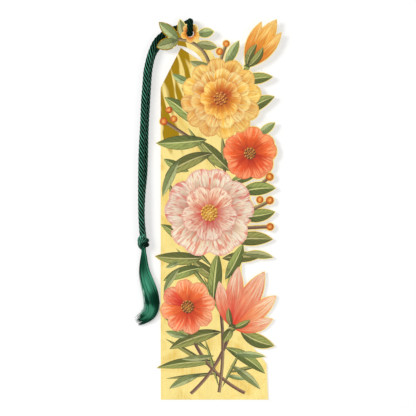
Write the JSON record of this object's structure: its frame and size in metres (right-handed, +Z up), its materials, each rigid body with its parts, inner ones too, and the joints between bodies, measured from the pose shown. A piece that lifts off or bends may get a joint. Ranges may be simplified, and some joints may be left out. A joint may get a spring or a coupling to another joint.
{
  "type": "bookmark",
  "caption": "Flat die-cut gilt brass bookmark with printed flowers on the front and a dark green cord tassel looped through an eye in its head",
  "frame": {"origin": "On the table below the middle of the plate's bounding box, the cord and tassel left out", "axes": "+X to the right across the plate, +Y up the plate to its head, +Z up from the table; the plate's face looks up and its head lies 2.4 mm up on the cord behind it"},
  "size_m": [0.0485, 0.1269, 0.0053],
  "materials": {
    "gilt_brass": "gilt, satin polish",
    "ink_gold": "printed ink, semi-gloss",
    "ink_amber": "printed ink, semi-gloss",
    "ink_blush": "printed ink, semi-gloss",
    "ink_coral": "printed ink, semi-gloss",
    "ink_peach": "printed ink, semi-gloss",
    "ink_leaf": "printed ink, semi-gloss",
    "ink_sage": "printed ink, semi-gloss",
    "ink_stem": "printed ink, semi-gloss",
    "cord_satin": "satin twisted cord"
  },
  "bodies": {
    "plate": {"gilt_plate": "gilt_brass", "dahlia_outer": "ink_gold", "dahlia_middle": "ink_gold", "dahlia_inner": "ink_amber", "dahlia_heart": "ink_amber", "rose_petals": "ink_blush", "rose_inner": "ink_blush", "rose_heart": "ink_gold", "poppy_petals": "ink_coral", "poppy_heart": "ink_amber", "anemone_petals": "ink_coral", "anemone_eye": "ink_amber", "lily_petals": "ink_peach", "lily_calyx": "ink_leaf", "bud_petals": "ink_amber", "bud_calyx": "ink_leaf", "head_blossom": "ink_amber", "head_leaves": "ink_sage", "berries": "ink_amber", "small_leaves": "ink_sage", "long_leaves": "ink_leaf", "stems": "ink_stem", "cord_loop": "cord_satin"},
    "tails": {"cord_tail_inner": "cord_satin", "cord_tail_outer": "cord_satin"},
    "cord": {"cord_leg_inner": "cord_satin", "cord_leg_outer": "cord_satin", "knot": "cord_satin"},
    "skirt": {"skirt": "cord_satin"}
  },
  "joints": [
    {"name": "cord_swing", "type": "hinge", "parent": "plate", "child": "tails", "pos_m": [-0.00928, 0.06048, 0.001], "axis": [0, 0, 1], "range_deg": [-160, 0]},
    {"name": "cord_lift", "type": "hinge", "parent": "tails", "child": "cord", "pos_m": [-0.02179, 0.05287, 0.0021], "axis": [-0.9448, 0.3277, 0], "range_deg": [0, 90]},
    {"name": "skirt_sway", "type": "hinge", "parent": "cord", "child": "skirt", "pos_m": [-0.02468, -0.01433, 0.00175], "axis": [0, 0, 1], "range_deg": [-70, 0]}
  ]
}
